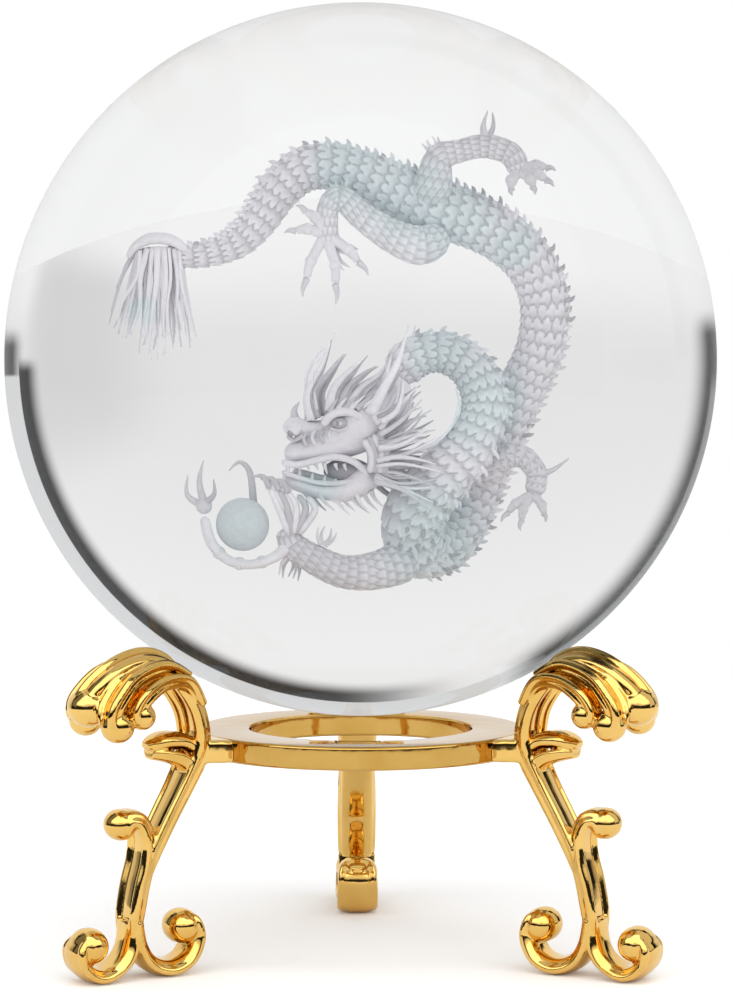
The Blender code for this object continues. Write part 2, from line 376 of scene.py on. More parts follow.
def leaf_head(shape):
    """Acanthus head: a rolled tip with two lobes and two small curls on each side."""
    barrel(shape, 34.3, 29.9, 2.15, 4.7, power=2.3)
    crown = [(22.6, 32.4), (25.0, 34.9), (27.8, 35.7), (31.0, 34.9), (34.0, 32.9), (35.8, 30.8)]
    limb(shape, [(r, 0, z, 0.9, 0.9) for r, z in crown], sides=12)
    for hand in (-1, 1):
        rows = [
            (23.4, hand * 1.6, 32.4, 1.2, 2.2),
            (26.6, hand * 2.3, 33.8, 1.4, 3.0),
            (30.2, hand * 3.1, 32.9, 1.5, 3.4),
            (32.5, hand * 3.7, 30.8, 1.5, 3.5),
            (33.3, hand * 3.9, 29.2, 1.4, 3.2),
            (33.0, hand * 3.9, 27.6, 0.9, 2.4),
        ]
        band(shape, rows, seats=(-0.5,), power=3.0)
        barrel(shape, 32.7, 28.1, 1.8, 3.7, t=hand * 3.9, power=2.2)
        rows = [
            (21.6, hand * 1.9, 29.4, 0.8, 1.2),
            (23.9, hand * 2.7, 32.0, 1.2, 2.3),
            (26.8, hand * 3.5, 32.3, 1.3, 2.8),
            (29.3, hand * 4.2, 31.1, 1.4, 2.9),
            (30.5, hand * 4.4, 29.6, 1.2, 2.6),
            (30.3, hand * 4.4, 28.6, 0.8, 2.0),
        ]
        band(shape, rows, bead=0.42, seats=(-0.55,), power=3.0)
        barrel(shape, 30.0, 29.1, 1.5, 3.1, t=hand * 4.3, power=2.2)


def spoon_leaf(shape):
    """The small plump leaf beside the ring, with a second fold under it."""
    rows = [
        (21.0, 0, 24.2, 1.6, 3.8),
        (23.0, 0, 25.5, 1.9, 4.5),
        (25.0, 0, 25.8, 2.0, 4.6),
        (26.5, 0, 25.5, 1.7, 3.6),
        (27.4, 0, 25.2, 0.9, 1.8),
    ]
    band(shape, rows, bead=0.0, power=2.3)
    rows = [
        (21.6, 0, 21.9, 1.5, 3.8),
        (23.6, 0, 23.5, 1.6, 4.4),
        (25.4, 0, 24.1, 1.4, 4.2),
        (27.0, 0, 24.3, 1.0, 2.4),
    ]
    band(shape, rows, bead=0.36, seats=(-0.3,), power=2.5)


def ring_pad(shape):
    """The pad that meets the ring's edge."""
    middle = (RING_TOP_Z - RING_THICKNESS / 2) / MM
    high = RING_THICKNESS / MM
    path = np.array(
        [
            (17.8, 0, middle, high, PAD_WIDTH),
            (19.2, 0, middle, high, PAD_WIDTH),
            (19.8, 0, middle, high, 5.6),
            (21.0, 0, middle, high, 4.8),
        ]
    )
    still = np.zeros(len(path))
    section = superellipse(SECTION_POINTS, 8.0)
    shape.loft(placed_loops(path, section, path[:, 3] / 2, path[:, 4] / 2, still, still))


def seated(mesh):
    """Grinds the feet flat, hollows the pad to the ring and keeps the heads off the glass."""
    count = len(mesh.vertices)
    places = np.empty(count * 3)
    mesh.vertices.foreach_get("co", places)
    places = places.reshape(-1, 3)
    places[:, 2] = np.maximum(places[:, 2], 0.0)
    centre = np.array(BALL_CENTRE)
    away = places - centre
    reach = np.linalg.norm(away, axis=1, keepdims=True)
    clear = BALL_RADIUS + SEAT_GAP
    places = np.where(reach < clear, centre + away / reach * clear, places)
    ring_clear = RING_OUTER_RADIUS + SEAT_GAP
    flat = np.hypot(places[:, 0], places[:, 1])
    push = np.where(flat < ring_clear, ring_clear / flat, 1.0)
    places[:, 0] *= push
    places[:, 1] *= push
    mesh.vertices.foreach_set("co", places.ravel())
    mesh.update()


def leg_mesh():
    """One casting: its bands melt into each other as they do in a polished die casting."""
    shape = Shape()
    stem(shape)
    feet(shape)
    leaf_head(shape)
    spoon_leaf(shape)
    ring_pad(shape)
    rough = bpy.data.objects.new("leg_blank", shape.mesh("leg_blank"))
    melt = rough.modifiers.new("melt", "REMESH")
    melt.mode = "VOXEL"
    melt.voxel_size = CASTING_VOXEL
    melt.use_smooth_shade = True
    polish = rough.modifiers.new("polish", "SMOOTH")
    polish.factor = 0.5
    polish.iterations = CASTING_SMOOTHING
    mesh = evaluated_mesh(rough)
    seated(mesh)
    mesh.shade_smooth()
    return mesh


def make_legs(gold):
    blank = leg_mesh()
    for side, azimuth in LEG_AZIMUTHS.items():
        mesh = blank.copy()
        mesh.transform(Matrix.Rotation(math.radians(azimuth), 4, "Z"))
        leg = new_object(side + "_leg_casting", mesh, gold)
        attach(leg, "stand")
        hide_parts(side + "_leg")


def make_ring(gold):
    """A flat ring turned from a section with softened edges."""
    inner, outer = RING_OUTER_RADIUS - RING_WIDTH, RING_OUTER_RADIUS
    middle_r = (inner + outer) / 2
    middle_z = RING_TOP_Z - RING_THICKNESS / 2
    section = superellipse(64, 2.0)
    half_w, half_h = RING_WIDTH / 2, RING_THICKNESS / 2
    corners = []
    for x, y in section:
        corner_x = math.copysign(half_w - RING_EDGE, x) + RING_EDGE * x
        corner_z = math.copysign(half_h - RING_EDGE, y) + RING_EDGE * y
        corners.append((middle_r + corner_x, middle_z + corner_z))
    turn = np.arange(RING_STEPS) * 2 * math.pi / RING_STEPS
    points = [
        (r * math.cos(a) / MM, r * math.sin(a) / MM, z / MM) for a in turn for r, z in corners
    ]
    sides = len(corners)
    faces = []
    for i in range(RING_STEPS):
        for k in range(sides):
            nxt = (k + 1) % sides
            near, far = i * sides, ((i + 1) % RING_STEPS) * sides
            faces.append((near + k, far + k, far + nxt, near + nxt))
    shape = Shape()
    shape.add(points, faces)
    mesh = shape.mesh("turned_ring")
    mesh.shade_smooth()
    mesh.set_sharp_from_angle(angle=math.radians(50))
    ring = new_object("turned_ring", mesh, gold)
    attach(ring, "stand")
    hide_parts("support_ring")


# Ball


def glass_material():
    """Clear optical glass. Shadow rays pass it, so that the tent lights the engraving."""
    material, tree, shader, output = shader_nodes("clear_glass_look")
    tree.nodes.remove(shader)
    bends = {"Color": GLASS_TINT, "Roughness": 0.0, "IOR": GLASS_INDEX}
    clear = add_node(tree, "ShaderNodeBsdfRefraction", bends)
    shine = add_node(tree, "ShaderNodeBsdfGlossy", {"Roughness": 0.0})
    fresnel = add_node(tree, "ShaderNodeFresnel", {"IOR": GLASS_INDEX})
    share = add_node(tree, "ShaderNodeMath", {1: GLASS_SHINE}, operation="MULTIPLY")
    tree.links.new(fresnel.outputs["Fac"], share.inputs[0])
    glass = blended(tree, share.outputs["Value"], clear.outputs["BSDF"], shine.outputs["BSDF"])
    path = add_node(tree, "ShaderNodeLightPath")
    open_way = add_node(tree, "ShaderNodeBsdfTransparent", {"Color": GLASS_SHADOW})
    seen = blended(tree, path.outputs["Is Shadow Ray"], glass, open_way.outputs["BSDF"])
    tree.links.new(seen, output.inputs["Surface"])
    return material


def make_ball():
    """A ground glass sphere: a cube's grid blown out to the true radius."""
    cells = 96
    grid = np.tan(np.linspace(-1, 1, cells + 1) * math.pi / 4)
    u, v = np.meshgrid(grid, grid, indexing="ij")
    points, faces = [], []
    for axis in range(3):
        for hand in (-1, 1):
            face = np.zeros((cells + 1, cells + 1, 3))
            face[..., axis] = hand
            face[..., (axis + 1) % 3] = u
            face[..., (axis + 2) % 3] = v * hand
            face /= np.linalg.norm(face, axis=2, keepdims=True)
            start = len(points) * (cells + 1) ** 2
            points.append(face.reshape(-1, 3))
            for i in range(cells):
                for k in range(cells):
                    a = start + i * (cells + 1) + k
                    faces.append((a, a + cells + 1, a + cells + 2, a + 1))
    places = np.vstack(points) * BALL_RADIUS + np.array(BALL_CENTRE)
    mesh = bpy.data.meshes.new("glass_ball")
    mesh.from_pydata(places.tolist(), [], faces)
    blank = bpy.data.objects.new("glass_blank", mesh)
    weld = blank.modifiers.new("weld", "WELD")
    weld.merge_threshold = 0.00001
    mesh = evaluated_mesh(blank)
    mesh.shade_smooth()
    ball = new_object("glass_ball", mesh, glass_material())
    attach(ball, "ball")
    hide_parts("crystal_ball")


# The engraving: a dragon with a pearl, drawn in millimetres from the ball's centre as it is
# seen through the glass: x to the right, y away from the front, z up. through_glass() then
# shrinks it to the true size inside, because the ball magnifies what is in it.


def through_glass(points):
    """True places of points that are drawn where the ball's glass makes them appear."""
    radius, distance = BALL_RADIUS / MM, CAMERA_DISTANCE / MM
    reach = np.linalg.norm(points[:, [0, 2]], axis=1, keepdims=True)
    reach = np.minimum(reach, 0.9 * radius)
    bend = np.arcsin(reach / radius) - np.arcsin(reach / radius / GLASS_INDEX)
    bend -= np.arcsin(reach / distance)
    true = points / (GLASS_INDEX * np.cos(bend))
    depth = points[:, 1:2] / GLASS_INDEX
    true[:, [0, 2]] *= 1 - depth * (GLASS_INDEX - 1) / radius + depth / distance
    true[:, 1:2] = depth
    return true


def limb(shape, stations, steps=6, sides=18, relief=None, tone=1.0, twist=None, rounded=True):
    """A limb along stations of (x, y, z, width, depth).

    relief(along, around) gives height and a tone factor; for scales that factor is painted shade
    where they are low.
    """
    path = through(stations, steps)
    places = path[:, :3]
    run = tangents(places)
    back = np.cross(run, (0.0, 1.0, 0.0))
    back /= np.linalg.norm(back, axis=1, keepdims=True)
    front = np.cross(run, back)
    if twist is not None:
        turn = np.radians(through([(t,) for t in twist], steps))
        back, front = (
            np.cos(turn) * back + np.sin(turn) * front,
            np.cos(turn) * front - np.sin(turn) * back,
        )
    half_w, half_d = path[:, 3] / 2, path[:, 4] / 2
    hops = np.linalg.norm(np.diff(places, axis=0), axis=1)
    along = np.concatenate([[0.0], np.cumsum(hops)])
    if rounded:
        for gone, end in ((along, half_w[0]), (along[-1] - along, half_w[-1])):
            dome = np.sqrt(np.clip(1 - (1 - np.minimum(gone / max(end, 0.01), 1.0)) ** 2, 0.01, 1))
            half_w, half_d = half_w * dome, half_d * dome
    around = np.arange(sides) * 2 * math.pi / sides
    height, tones = 0.0, np.full((len(path), sides), float(tone))
    if relief:
        height, share = relief(along[:, None], around[None, :])
        tones = tones * share
    a = (half_w[:, None] + height) * np.cos(around)
    b = (half_d[:, None] + height) * np.sin(around)
    loops = places[:, None, :] + a[..., None] * back[:, None, :] + b[..., None] * front[:, None, :]
    shape.loft(loops, tones)
    return places, run, back, front, half_w, along


def scaly(pitch, count, height, belly=2.7):
    """Relief of overlapping scales that point back along a limb, with plates under its belly. The
    tone is painted darker where they are low, as shade.
    """

    def relief(along, around):
        p = 1000.0 - along / pitch
        q = around / (2 * math.pi) * count
        row = np.floor(p)
        step = p - row
        over = (q + 0.5 * ((row + 1) % 2)) % 1.0 - 0.5
        tip = 0.8 * np.sqrt(np.maximum(1 - (2 * over) ** 2, 0.0))
        above = (step + 1) / (1 + tip)
        below = 0.55 * (step - tip) / (1.001 - tip)
        rise = np.where(step < tip, above, below)
        from_back = np.minimum(around, 2 * math.pi - around)
        plates = (along / (pitch * 0.8)) % 1.0
        rise = np.where(from_back > belly, plates, rise)
        # painted shade: the tone falls with the relief, darkest at each scale's and plate's low
        # edge
        return height * rise, 0.35 + 0.65 * rise

    return relief


def scaly_leg(shape, stations, pitch=1.0, count=12, height=0.16, sides=48, tone=1.0):
    """A leg with scales all round."""
    relief = scaly(pitch, count, height, belly=4.0)
    limb(shape, stations, steps=14, sides=sides, relief=relief, tone=tone)


def cone(shape, points, width, tone=1.0, tip=0.12, steps=4, sides=8):
    """A horn, claw, tooth or hair: a curve through points that tapers to a tip."""
    count = len(points)
    sizes = [width + (tip - width) * (i / (count - 1)) ** 1.3 for i in range(count)]
    stations = [(*point, size, size) for point, size in zip(points, sizes)]
    limb(shape, stations, steps=steps, sides=sides, tone=tone, rounded=False)


def blob(shape, x, y, z, size, depth=None, tone=1.0, height=None):
    """An egg: width size, and depth and height if they differ."""
    depth = depth or size
    height = height or size
    angle = np.linspace(-math.pi / 2, math.pi / 2, 14)
    ring = superellipse(22, 2.0)
    loops = []
    for lift in angle:
        girth = max(math.cos(lift), 0.02) / 2
        level = z + math.sin(lift) * height / 2
        loops.append([(x - c * size * girth, y + s * depth * girth, level) for c, s in ring])
    shape.loft(np.array(loops), tone)


BODY = [
    # x, y, z, width, depth, from the tail's root to the neck
    (-22.0, 0.4, 12.4, 1.9, 1.8),
    (-20.0, 0.2, 11.8, 2.3, 2.1),
    (-17.0, 0.0, 12.1, 2.7, 2.5),
    (-13.7, 0.0, 13.5, 3.4, 3.0),
    (-11.2, 0.0, 16.2, 4.0, 3.6),
    (-9.1, 0.0, 19.3, 4.5, 4.0),
    (-6.3, 0.0, 21.5, 4.8, 4.4),
    (-3.0, 0.0, 21.8, 5.0, 4.6),
    (0.6, 0.0, 20.7, 5.2, 4.8),
    (4.4, 0.0, 19.0, 5.8, 5.2),
    (8.3, 0.0, 17.2, 6.4, 5.8),
    (12.1, 0.3, 15.9, 6.0, 5.6),
    (15.5, 0.6, 14.2, 5.7, 5.4),
    (18.5, 1.0, 11.6, 5.4, 5.2),
    (20.3, 1.2, 8.3, 5.3, 5.1),
    (20.7, 1.4, 4.7, 5.2, 5.0),
    (20.0, 1.7, 0.8, 5.1, 5.0),
    (18.5, 2.1, -2.4, 5.1, 5.0),
    (16.9, 2.6, -5.8, 5.2, 5.1),
    (15.2, 3.2, -9.6, 5.4, 5.2),
    (13.4, 3.6, -13.2, 5.8, 5.6),
    (11.6, 3.2, -17.0, 6.4, 6.0),
    (9.2, 1.6, -20.4, 6.6, 6.4),
    (6.4, -1.0, -20.8, 7.0, 6.6),
    (5.9, -3.6, -17.4, 7.0, 6.6),
    (8.6, -5.0, -13.6, 6.4, 6.2),
    (12.0, -4.9, -9.8, 5.6, 5.5),
    (13.9, -4.2, -5.3, 5.1, 5.0),
    (12.6, -3.8, -1.2, 4.7, 4.6),
    (9.4, -3.8, 0.9, 4.4, 4.4),
    (6.2, -4.2, 0.5, 4.4, 4.4),
    (3.6, -4.8, -1.8, 4.8, 4.8),
]
BODY_TWIST = [0.0] * 22 + [20.0, 65.0, 115.0, 150.0] + [180.0] * 6
SPINE_STEP = 0.92


def dragon_body(shape):
    """The long scaled body with a crest of spines down its back."""
    track = limb(shape, BODY, steps=24, sides=110, relief=scaly(1.5, 15, 0.24), twist=BODY_TWIST)
    places, run, back, front, half_w, along = track
    for hand, lean, size in ((0.0, 0.0, 1.0), (0.9, 0.5, 0.8), (-0.9, -0.5, 0.8)):
        for s in np.arange(3.0, along[-1] - 4.0, SPINE_STEP):
            i = int(np.searchsorted(along, s))
            out = back[i] * math.cos(lean) + front[i] * math.sin(lean)
            wave = 1.0 + 0.3 * math.sin(s * 2.9 + hand)
            tall = (0.3 + 0.09 * half_w[i] * 2) * size * wave
            root = places[i] + out * half_w[i] * 0.95
            middle = root + out * tall * 0.6 - run[i] * 0.1
            top = root + out * tall - run[i] * 0.45
            cone(shape, [root, middle, top], 0.75 * size, tone=(0.35, 0.8, 1.0)[i % 3], steps=3)


def tail_tassel(shape, dice):
    """A curled cap at the tail's end with long hair hanging from it."""
    for y, tone in ((0.9, 0.85), (-0.7, 1.0)):
        cap = [
            (-19.6, y, 12.4, 1.0, 1.6),
            (-21.4, y, 13.6, 1.3, 1.8),
            (-23.6, y - 0.2, 13.8, 1.3, 1.8),
            (-25.4, y - 0.2, 12.9, 0.9, 1.5),
            (-26.3, y - 0.2, 11.6, 0.5, 1.0),
        ]
        limb(shape, cap, sides=20, tone=tone)
    for i in range(TASSEL_HAIRS):
        share = (i + dice.uniform(-0.4, 0.4)) / (TASSEL_HAIRS - 1)
        start_x = -25.2 + 4.8 * share
        start = (start_x, dice.uniform(-1.5, 1.5), 12.4 + 0.5 * math.sin(share * 3))
        end_x = -27.6 + 8.6 * share + dice.uniform(-0.7, 0.7)
        length = 8.0 + 5.2 * math.sin(math.pi * (0.1 + 0.75 * share)) - dice.uniform(0, 3.0)
        sway = dice.uniform(-0.35, 0.35)
        points = [
            start,
            (start_x * 0.75 + end_x * 0.25 + sway, start[1] * 1.1, start[2] - length * 0.35),
            (start_x * 0.35 + end_x * 0.65 - sway, start[1] * 1.2, start[2] - length * 0.7),
            (end_x, start[1], start[2] - length),
        ]
        cone(shape, points, dice.uniform(0.35, 0.8), tone=dice.choice((0.7, 0.88, 1.0, 1.12, 1.22)))
    for x, z in ((-28.2, 5.6), (-27.6, 8.2), (-28.4, 4.2)):
        cone(shape, [(-25.4, 0.4, 12.4), (-26.8, 0.6, 9.8), (x, 0.4, z)], 0.6, 0.75)


def toes(shape, wrist, tips, thickness, tone=0.9):
    """Knuckled toes from a wrist, each with a hooked claw at its tip."""
    wrist = np.array(wrist, dtype=float)
    for tip in tips:
        tip = np.array(tip, dtype=float)
        reach = tip - wrist
        arch = np.cross(reach / np.linalg.norm(reach), (0.0, 1.0, 0.0))
        if arch[2] < 0:
            arch = -arch
        knuckle = wrist + reach * 0.45 + arch * thickness * 0.5 + np.array([0, -0.5, 0])
        nail = wrist + reach * 0.72 + arch * thickness * 0.25
        rows = [(*p, w, w) for p, w in ((wrist, 1.15), (knuckle, 1.0), (nail, 0.85))]
        rows = [(x, y, z, w * thickness, d * thickness) for x, y, z, w, d in rows]
        limb(shape, rows, steps=5, sides=12, tone=tone)
        hook = [nail, nail + (tip - nail) * 0.55 + arch * 0.2, tip]
        cone(shape, hook, 0.75 * thickness, tone=0.6)
        blob(shape, *knuckle, 1.25 * thickness, tone=tone)


def tuft(shape, root, direction, length, count, spread, dice, width=0.8):
    """A flame of hair at an elbow, cheek or brow."""
    root, direction = np.array(root, dtype=float), np.array(direction, dtype=float)
    direction /= np.linalg.norm(direction)
    across = np.cross(direction, (0.0, 1.0, 0.0))
    for i in range(count):
        lean = (i / max(count - 1, 1) - 0.5) * spread
        way = direction * math.cos(lean) + across * math.sin(lean)
        reach = length * dice.uniform(0.75, 1.1)
        bow = across * math.copysign(0.12, lean + 0.01) * reach
        start = root + across * lean * 0.8
        depth = np.array([0, dice.uniform(-0.5, 0.5), 0])
        points = [start, start + way * reach * 0.5 + bow + depth, start + way * reach + depth * 1.5]
        cone(shape, points, width, tone=dice.choice((0.55, 0.8, 1.0)))


def hind_legs(shape, dice):
    rows = [
        (7.8, -1.8, 17.6, 4.8, 4.4),
        (8.2, -2.4, 20.4, 3.9, 3.8),
        (8.9, -2.6, 22.8, 3.1, 3.0),
        (11.2, -2.4, 23.6, 2.4, 2.4),
        (14.0, -2.4, 24.1, 2.5, 2.4),
        (16.8, -2.6, 23.2, 2.5, 2.4),
        (17.9, -2.8, 21.0, 2.4, 2.2),
    ]
    scaly_leg(shape, rows)
    tips = [(21.9, -3.6, 21.4), (21.7, -4.4, 19.6), (19.5, -4.4, 18.7), (17.0, -3.6, 18.6)]
    toes(shape, (17.8, -3.0, 21.4), tips, 1.15, tone=0.75)
    tuft(shape, (14.1, -2.6, 24.8), (0.05, 0, 1), 3.1, 3, 0.25, dice)
    tuft(shape, (8.4, -2.6, 23.8), (-0.6, 0, 1), 1.4, 4, 0.9, dice, width=0.5)
    rows = [
        (9.4, -2.4, 14.6, 3.0, 3.0),
        (6.9, -3.4, 13.0, 4.2, 3.8),
        (3.6, -3.8, 14.0, 3.6, 3.4),
        (0.2, -3.8, 16.2, 2.9, 2.8),
        (-2.4, -3.8, 18.4, 2.5, 2.6),
        (-3.7, -3.8, 17.2, 2.3, 2.4),
        (-3.8, -3.8, 14.9, 2.2, 2.2),
        (-3.6, -3.8, 12.8, 2.4, 2.2),
    ]
    scaly_leg(shape, rows)
    tips = [
        (-7.4, -4.4, 17.5),
        (-8.7, -4.6, 14.4),
        (-6.6, -5.0, 7.2),
        (-2.9, -5.2, 6.4),
        (0.8, -4.6, 9.6),
    ]
    toes(shape, (-4.0, -4.0, 14.2), tips, 1.1, tone=0.8)
    tuft(shape, (-2.9, -3.6, 12.6), (1, 0, -0.7), 3.0, 5, 0.9, dice, width=0.7)
    tuft(shape, (-2.2, -3.6, 19.2), (-0.4, 0, 1), 1.4, 4, 0.9, dice, width=0.5)


def fore_legs(shape, dice):
    rows = [
        (6.0, -3.0, -22.0, 5.2, 4.4),
        (2.1, -4.6, -23.6, 4.2, 4.0),
        (-1.8, -6.0, -23.9, 3.6, 3.6),
        (-5.1, -6.8, -22.6, 3.2, 3.2),
        (-7.8, -7.0, -20.8, 2.8, 2.8),
        (-8.4, -7.0, -18.8, 2.6, 2.4),
    ]
    scaly_leg(shape, rows, pitch=1.1, height=0.2)
    blob(shape, -13.5, -6.6, -18.5, 6.1, tone=PEARL_TONE)
    for dy, tone in ((0.9, 0.7), (-0.9, 1.0)):
        palm = [
            (-8.2, -6.8 + dy, -20.8, 1.5, 1.5),
            (-10.0, -6.8 + dy, -22.3, 1.2, 1.6),
            (-12.6, -6.8 + dy, -23.1, 1.1, 1.5),
            (-15.2, -6.8 + dy, -22.6, 1.1, 1.5),
            (-17.1, -6.8 + dy, -20.6, 1.2, 1.4),
            (-17.9, -6.8 + dy, -17.6, 1.1, 1.2),
        ]
        limb(shape, palm, tone=tone)
        for x, z in ((-11.3, -22.8), (-13.9, -23.0), (-16.2, -21.8)):
            blob(shape, x, -6.8 + dy, z, 1.5, tone=0.9)
    blob(shape, -17.9, -6.8, -16.4, 1.9, 1.8, 0.7)
    cone(shape, [(-17.9, -7.0, -16.2), (-18.4, -7.6, -13.6), (-17.9, -7.8, -11.2)], 1.0, 0.6)
    cone(shape, [(-18.0, -6.4, -16.4), (-19.8, -6.6, -15.2), (-19.7, -6.8, -12.9)], 0.95, 0.7)
    cone(shape, [(-17.6, -7.2, -16.0), (-16.7, -7.8, -15.0), (-16.8, -8.0, -13.4)], 0.8, 0.45)
    for i in range(5):
        x, z = -10.4 + 1.05 * i, -14.3 - 0.25 * i
        rows = [
            (-8.2 + 0.25 * i, -7.8, -19.6, 0.9, 1.2),
            (x + 0.9, -8.6, (z - 18.4) / 2, 0.8, 1.2),
            (x, -8.8, z, 0.7, 0.9),
        ]
        limb(shape, rows, sides=12, tone=(1.0, 0.5)[i % 2])
        if i < 3:
            hook = [(x, -8.8, z), (x - 0.8, -9.0, z + 1.3), (x - 2.1, -8.8, z + 1.2)]
            cone(shape, hook, 0.85, 0.45)
    thumb = [(-12.2, -4.6, -16.2), (-12.6, -5.4, -12.6), (-13.8, -6.4, -11.4), (-15.0, -6.8, -12.4)]
    cone(shape, thumb, 0.9, 0.5)
    tuft(shape, (-7.8, -7.0, -21.8), (-0.2, 0, -1), 3.2, 5, 0.6, dice, width=0.6)
    tuft(shape, (-4.4, -7.4, -20.8), (0.3, 0, 1), 2.0, 4, 0.8, dice, width=0.5)
    rows = [
        (13.6, -1.4, -13.6, 3.6, 3.4),
        (15.8, -2.6, -11.0, 2.9, 2.8),
        (18.2, -3.2, -10.8, 2.4, 2.4),
        (19.8, -3.4, -12.8, 2.2, 2.2),
        (19.4, -3.8, -15.2, 2.2, 2.0),
    ]
    scaly_leg(shape, rows, pitch=0.9, count=11, height=0.15, sides=40, tone=0.85)
    tips = [(15.8, -5.0, -18.2), (18.0, -5.4, -19.2), (20.8, -5.0, -18.2)]
    toes(shape, (19.3, -4.0, -15.0), tips, 0.95, tone=0.7)
    cone(shape, [(20.0, -3.4, -12.8), (21.6, -3.8, -12.3), (23.4, -4.0, -11.0)], 0.9, 0.6)


# Teeth: x and length
UPPER_TEETH = (
    (-8.4, 1.7), (-7.2, 0.9), (-6.2, 0.8), (-5.2, 0.8), (-4.2, 1.3), (-3.0, 0.8), (-2.0, 0.8)
)
LOWER_TEETH = ((-8.3, 1.2), (-7.0, 0.8), (-5.6, 0.7), (-4.2, 0.8), (-3.0, 0.7))


def dragon_head(shape, dice):
    """Head in profile with open jaws, brow, horns, whiskers and a mane."""
    y = HEAD_DEPTH

    def ridge(points, width, tone=1.0, depth=1.2, sides=14):
        rows = [(*point, width, width * depth) for point in points]
        limb(shape, rows, sides=sides, tone=tone)

    rows = [
        (5.0, y + 1.4, -2.4, 4.8, 5.0),
        (2.4, y + 0.4, -4.8, 6.0, 6.2),
        (-0.4, y, -7.2, 6.2, 6.2),
        (-3.0, y, -8.8, 4.8, 5.2),
        (-5.4, y, -9.8, 3.4, 4.4),
        (-7.2, y, -10.2, 2.6, 4.0),
        (-8.6, y, -10.9, 1.8, 3.2),
    ]
    limb(shape, rows, steps=10, sides=36, tone=0.95)
    rows = [
        (-2.4, y, -6.9, 2.0, 2.6),
        (-4.6, y, -7.6, 1.9, 2.8),
        (-6.4, y, -7.7, 2.2, 3.4),
        (-7.7, y, -7.5, 2.4, 3.6),
        (-8.2, y, -8.4, 1.5, 2.6),
    ]
    limb(shape, rows)
    rows = [
        (1.6, y, -12.2, 3.8, 5.0),
        (-1.4, y, -14.4, 2.8, 4.6),
        (-4.4, y, -14.6, 2.0, 4.0),
        (-7.0, y, -13.8, 1.9, 3.5),
        (-8.9, y, -13.1, 1.5, 2.8),
    ]
    limb(shape, rows, steps=10, sides=30, tone=0.97)
    # painted shade: a dark egg inside the open jaws, where the mouth's shade falls
    blob(shape, -1.6, y + 0.2, -12.4, 5.4, 3.6, 0.1, 3.0)
    ridge([(-0.6, y, -13.0), (-3.6, y, -13.4), (-6.2, y, -12.8), (-7.8, y, -12.4)], 0.9, 0.75, 2.0)
    for hand in (-1, 1):
        side = y + hand * 2.4
        blob(shape, -7.5, y + hand * 1.5, -7.6, 1.7, tone=1.0)
        # painted shade: a dark egg in each nostril
        blob(shape, -8.0, y + hand * 1.8, -8.1, 0.8, tone=0.1)
        ridge([(-6.6, side, -8.4), (-7.6, side - hand, -8.9), (-8.4, side - hand, -8.4)], 0.5, 0.6)
        for i in range(4):
            x = -6.2 + 0.95 * i
            z = -8.0 + 0.18 * i
            wrinkle = [
                (x, side - hand * 0.6, z),
                (x - 0.35, side, z - 0.8),
                (x + 0.1, side - hand * 0.1, z - 1.7),
            ]
            ridge(wrinkle, 0.42, 0.55 + 0.45 * (i % 2), sides=10)
        # eye under a heavy brow: a dark socket of painted shade under the brow, then the eyeball
        # with its own dark pupil
        blob(shape, -2.5, y + hand * 2.75, -6.95, 1.8, 1.2, 0.3, 1.2)
        blob(shape, -2.6, y + hand * 2.95, -7.0, 1.0, 1.1, 0.9, 0.62)
        blob(shape, -2.75, y + hand * 3.35, -7.0, 0.45, 0.45, 0.0, 0.5)
        out = side + hand * 0.5
        end = side + hand * 0.6
        ridge([(-4.4, side, -7.2), (-3.3, out, -6.0), (-1.6, end, -5.7), (0.4, side, -6.6)], 1.0)
        out = side + hand * 0.4
        ridge([(-3.6, side, -7.5), (-2.6, out, -7.8), (-1.4, out, -7.4)], 0.45, 0.8)
        for i in range(6):
            root = np.array([-3.6 + 0.75 * i, side + hand * 0.5, -5.9 + 0.12 * i])
            way = np.array([0.35 + 0.16 * i, hand * 0.1, 1.0])
            tip = root + way * 1.7 + np.array([0.3, 0, 0])
            cone(shape, [root, root + way * 0.8, tip], 0.75, (0.5, 1.0)[i % 2])
        # lips, cheek and gill flaps
        lip = [(-9.0, -11.3), (-7.4, -11.7), (-5.2, -11.2), (-3.0, -10.8), (-0.8, -11.4)]
        ridge([(x, side - hand * 0.3, z) for x, z in (*lip, (0.8, -12.9))], 0.8)
        lip = [(-9.0, -12.5), (-7.2, -13.1), (-4.8, -13.7), (-2.2, -13.7), (0.0, -13.2)]
        ridge([(x, side - hand * 0.5, z) for x, z in lip], 0.6, 0.9)
        for i in range(4):
            shift = 0.55 * i
            flap = [(0.2 + shift, -8.8 + 0.3 * i), (1.1 + shift, -10.6), (0.9 + 0.5 * i, -12.6)]
            ridge([(x, side + hand * 0.6, z) for x, z in flap], 0.85, (0.95, 0.5)[i % 2])
        for x, long in UPPER_TEETH:
            z = -11.4 - 0.05 * abs(x + 5)
            gum, point = side - hand * 0.4, side - hand * 0.5
            tooth = [(x, gum, z), (x + 0.1, gum, z - long / 2), (x + 0.3, point, z - long)]
            cone(shape, tooth, 0.5, 1.0)
        for x, long in LOWER_TEETH:
            z = -12.6 - 0.25 * (x + 8.3)
            gum = side - hand * 0.7
            cone(shape, [(x, gum, z), (x, gum, z + long / 2), (x + 0.1, gum, z + long)], 0.48, 1.0)
    cone(shape, [(-7.4, y, -6.8), (-7.6, y, -5.6), (-7.0, y, -4.6)], 1.1, 0.6)
